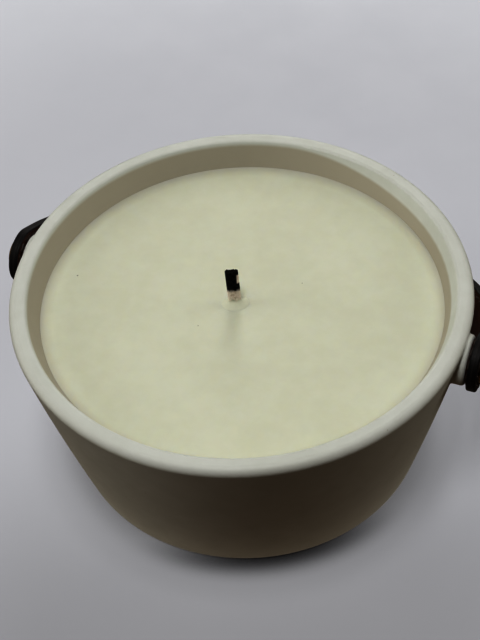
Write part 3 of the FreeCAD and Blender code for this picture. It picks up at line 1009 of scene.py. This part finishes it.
lightSpecs = {
    "overhead": {
        "aside": -120.0,
        "back": -300.0,
        "height": 1450.0,
        "wide": 700.0,
        "deep": 200.0,
        "power": 12.7,
        "colour": (1, 0.99, 0.97),
    },
    "behind": {
        "aside": 100.0,
        "back": 850.0,
        "height": 420.0,
        "wide": 900.0,
        "deep": 300.0,
        "power": 2.8,
        "colour": (1, 0.99, 0.97),
    },
    "leftSide": {
        "aside": -900.0,
        "back": 40.0,
        "height": 330.0,
        "wide": 500.0,
        "deep": 400.0,
        "power": 2.7,
        "colour": (1, 0.96, 0.88),
    },
    "rightSide": {
        "aside": 900.0,
        "back": 80.0,
        "height": 330.0,
        "wide": 500.0,
        "deep": 400.0,
        "power": 2.1,
        "colour": (1, 0.96, 0.88),
    },
}


def contactShade(tree, coords):
    # how deep the shadow at the foot is, deepest in front
    inputs = {"Distance": stageSpec["contactReach"] * mm}
    samples = stageSpec["contactSamples"]
    shade = addNode(tree, "ShaderNodeAmbientOcclusion", inputs, samples=samples).outputs["AO"]
    way = Matrix.Rotation(heading, 3, "Z") @ Vector((*stageSpec["shadowWay"], 0))
    frontRange = (stageSpec["shadowFrom"] * mm, stageSpec["shadowTo"] * mm)
    inFront = fadeBetween(tree, reachAlong(tree, coords, way), *frontRange, stageSpec["contactLeast"])
    deep = fadeBetween(tree, shade, 1.0, stageSpec["contactFrom"])
    return multiply(tree, deep, inFront)


def makeFloor():
    deselectAll()
    bpy.ops.mesh.primitive_plane_add(size=stageSpec["floorSize"] * mm)
    floor = bpy.context.object
    floor.name = "floor"
    material, tree, shader, coords = newMaterial("paleFloor")
    tones = mottled(tree, coords, stageSpec["cloudScale"], stageSpec["floorDark"], stageSpec["floorLight"])
    rough = spreadNoise(tree, noiseAt(tree, coords, stageSpec["glossScale"]), stageSpec["gloss"])
    seen = addNode(tree, "ShaderNodeLightPath").outputs["Is Camera Ray"]
    colour = mixColour(tree, seen, stageSpec["floorWarm"], tones)
    contact = contactShade(tree, coords)
    # painted shadow at the foot, in the floor's colour as the camera sees it
    shadowedTones = mixColour(tree, multiply(tree, contact, seen), colour, stageSpec["shadow"])
    setShader(tree, shader, Base_Color=shadowedTones, Roughness=rough)
    fromPot = lengthOf(tree, coords)
    far = fadeBetween(tree, fromPot, stageSpec["farFrom"] * mm, stageSpec["farTo"] * mm)
    pale = mixColour(tree, far, stageSpec["floorGlow"], stageSpec["floorFar"])
    # painted shadow at the foot, in the floor's glow
    shaded = mixColour(tree, contact, pale, stageSpec["shadow"])
    depth = reachAlong(tree, coords, (-math.sin(heading), math.cos(heading), 0))
    dimRange = (stageSpec["dimTo"] * mm, stageSpec["dimFrom"] * mm)
    # painted shade: the glow is darker towards the camera, except far out
    lit = mathNode(tree, "MAXIMUM", fadeBetween(tree, depth, *dimRange, stageSpec["dimmest"]), far)
    dimmed = mixColour(tree, lit, stageSpec["shadow"], shaded)
    near = fadeBetween(tree, fromPot, stageSpec["bounceReach"] * mm, stageSpec["bounceFrom"] * mm)
    bounce = mixColour(tree, near, stageSpec["bounceFar"], stageSpec["bounceNear"])
    # the floor's glow: painted light seen by the camera, and warm light cast onto the pot
    lift = mixColour(tree, seen, bounce, dimmed)
    setShader(tree, shader, Emission_Color=lift, Emission_Strength=1.0)
    dress(floor, material)


def addSoftbox(name, spec):
    # stands round the bowl as the camera faces it, and points at the bowl
    place = Matrix.Rotation(heading, 3, "Z") @ Vector((spec["aside"], spec["back"], spec["height"]))
    bpy.ops.object.light_add(type="AREA", location=place * mm)
    light = bpy.context.object
    light.name = name
    light.data.shape = "RECTANGLE"
    light.data.size = spec["wide"] * mm
    light.data.size_y = spec["deep"] * mm
    light.data.energy = spec["power"]
    light.data.color = spec["colour"]
    light.rotation_euler = place.to_track_quat("Z", "X").to_euler()


def makeCamera():
    # looks at the middle of the rim, then is turned a little off it as the photo is
    elevation, pitch, yaw, roll = (
        math.radians(cameraSpec[name]) for name in ("elevation", "pitch", "yaw", "roll")
    )
    flat = math.cos(elevation)
    back = Vector((math.sin(heading) * flat, -math.cos(heading) * flat, math.sin(elevation)))
    aside = Vector((math.cos(heading), math.sin(heading), 0))
    aim = Matrix((aside, back.cross(aside), back)).transposed()
    turn = Matrix.Rotation(-pitch, 3, "X") @ Matrix.Rotation(-yaw, 3, "Y") @ Matrix.Rotation(roll, 3, "Z")
    rimCentre = Vector((0, 0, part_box("pot")[1].z))
    bpy.ops.object.camera_add()
    camera = bpy.context.object
    camera.name = "photoCamera"
    camera.data.sensor_width = cameraSpec["sensor"]
    camera.data.lens = cameraSpec["focalPixels"] * cameraSpec["sensor"] / cameraSpec["frameHeight"]
    camera.data.dof.use_dof = False
    place = Matrix.Translation(rimCentre + back * cameraSpec["distance"] * mm)
    camera.matrix_world = place @ (aim @ turn).to_4x4()
    bpy.context.scene.camera = camera


def makeWorld():
    world = bpy.data.worlds.new("studio")
    bpy.context.scene.world = world
    world.use_nodes = True
    background = world.node_tree.nodes["Background"]
    background.inputs["Color"].default_value = stageSpec["world"]
    background.inputs["Strength"].default_value = stageSpec["worldStrength"]


makeFloor()
deselectAll()
for lightName, lightSpec in lightSpecs.items():
    addSoftbox(lightName, lightSpec)
makeWorld()
makeCamera()
bpy.context.scene.view_settings.view_transform = "Standard"
bpy.context.scene.view_settings.gamma = stageSpec["contrast"]
print("stage set")

bpy.context.view_layer.update()
